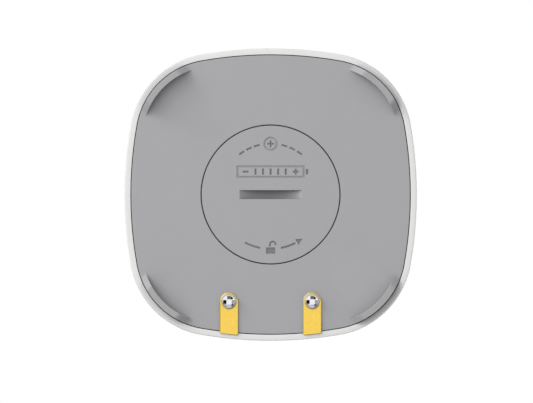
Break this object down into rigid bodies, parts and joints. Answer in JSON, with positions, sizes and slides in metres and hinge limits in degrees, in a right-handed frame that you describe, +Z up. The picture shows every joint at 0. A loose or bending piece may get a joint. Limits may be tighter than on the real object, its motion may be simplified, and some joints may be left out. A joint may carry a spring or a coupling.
{
  "type": "water leak sensor",
  "caption": "Low pillow-shaped floor sensor with gold water probes, corner feet and a coin-turned bayonet battery door underneath, and a push button with a status light on top.",
  "frame": {"origin": "on the floor under the centre of the object, at the level of the soles of its feet", "axes": "+Z up through the crown, -Y towards the edge with the two probe contacts, +X to the right when facing +Y"},
  "size_m": [0.062, 0.062, 0.0174],
  "materials": {
    "housing_white": "fine moulded satin, white",
    "button_white": "fine moulded satin, white",
    "base_grey": "fine spark-eroded matt, mid grey",
    "door_grey": "fine spark-eroded matt, mid grey",
    "seal_silicone": "silicone rubber, dark grey",
    "pipe_clear": "clear acrylic light pipe",
    "cell_steel": "nickel-plated steel",
    "cell_cap": null,
    "plastic_black": "black moulded plastic",
    "spring_bronze": "phosphor bronze sheet",
    "contact_gold": "gold-plated strip, satin",
    "screw_chrome": "bright nickel",
    "screw_steel": "zinc-plated steel",
    "post_brass": "turned brass",
    "board_green": "green solder mask",
    "shield_steel": "tinned steel sheet",
    "ceramic_ivory": "glazed ceramic",
    "led_clear": "clear resin",
    "capacitor_amber": "moulded resin"
  },
  "bodies": {
    "housing": {"top_shell": "housing_white", "light_pipe": "pipe_clear", "base_cover": "base_grey", "housing_seal": "seal_silicone", "coin_cell_can": "cell_steel", "coin_cell_grommet": "plastic_black", "coin_cell_cap": "cell_cap", "negative_spring": "spring_bronze", "positive_clip": "spring_bronze", "probe_contact_left": "contact_gold", "probe_contact_right": "contact_gold", "probe_screw_left": "screw_chrome", "probe_screw_right": "screw_chrome", "probe_post_left": "post_brass", "probe_post_right": "post_brass", "probe_seals": "seal_silicone", "main_board": "board_green", "board_screws": "screw_steel", "radio_board": "board_green", "radio_shield": "shield_steel", "chip_antenna": "ceramic_ivory", "switch_body": "plastic_black", "status_led": "led_clear", "timing_crystal": "shield_steel", "buffer_capacitor": "capacitor_amber"},
    "battery_door": {"battery_door": "door_grey", "door_seal": "seal_silicone"},
    "function_button": {"function_button": "button_white", "button_seal": "seal_silicone", "switch_plunger": "plastic_black"}
  },
  "joints": [
    {"name": "battery_door_turn", "type": "hinge", "parent": "housing", "child": "battery_door", "pos_m": [0, 0, 0.0024], "axis": [0, 0, -1], "range_deg": [0, 45]},
    {"name": "function_button_press", "type": "slide", "parent": "housing", "child": "function_button", "axis": [0, 0, -1], "range_m": [0, 0.0005], "stiffness_N_per_m": 1200, "springref_m": -0.0005}
  ]
}
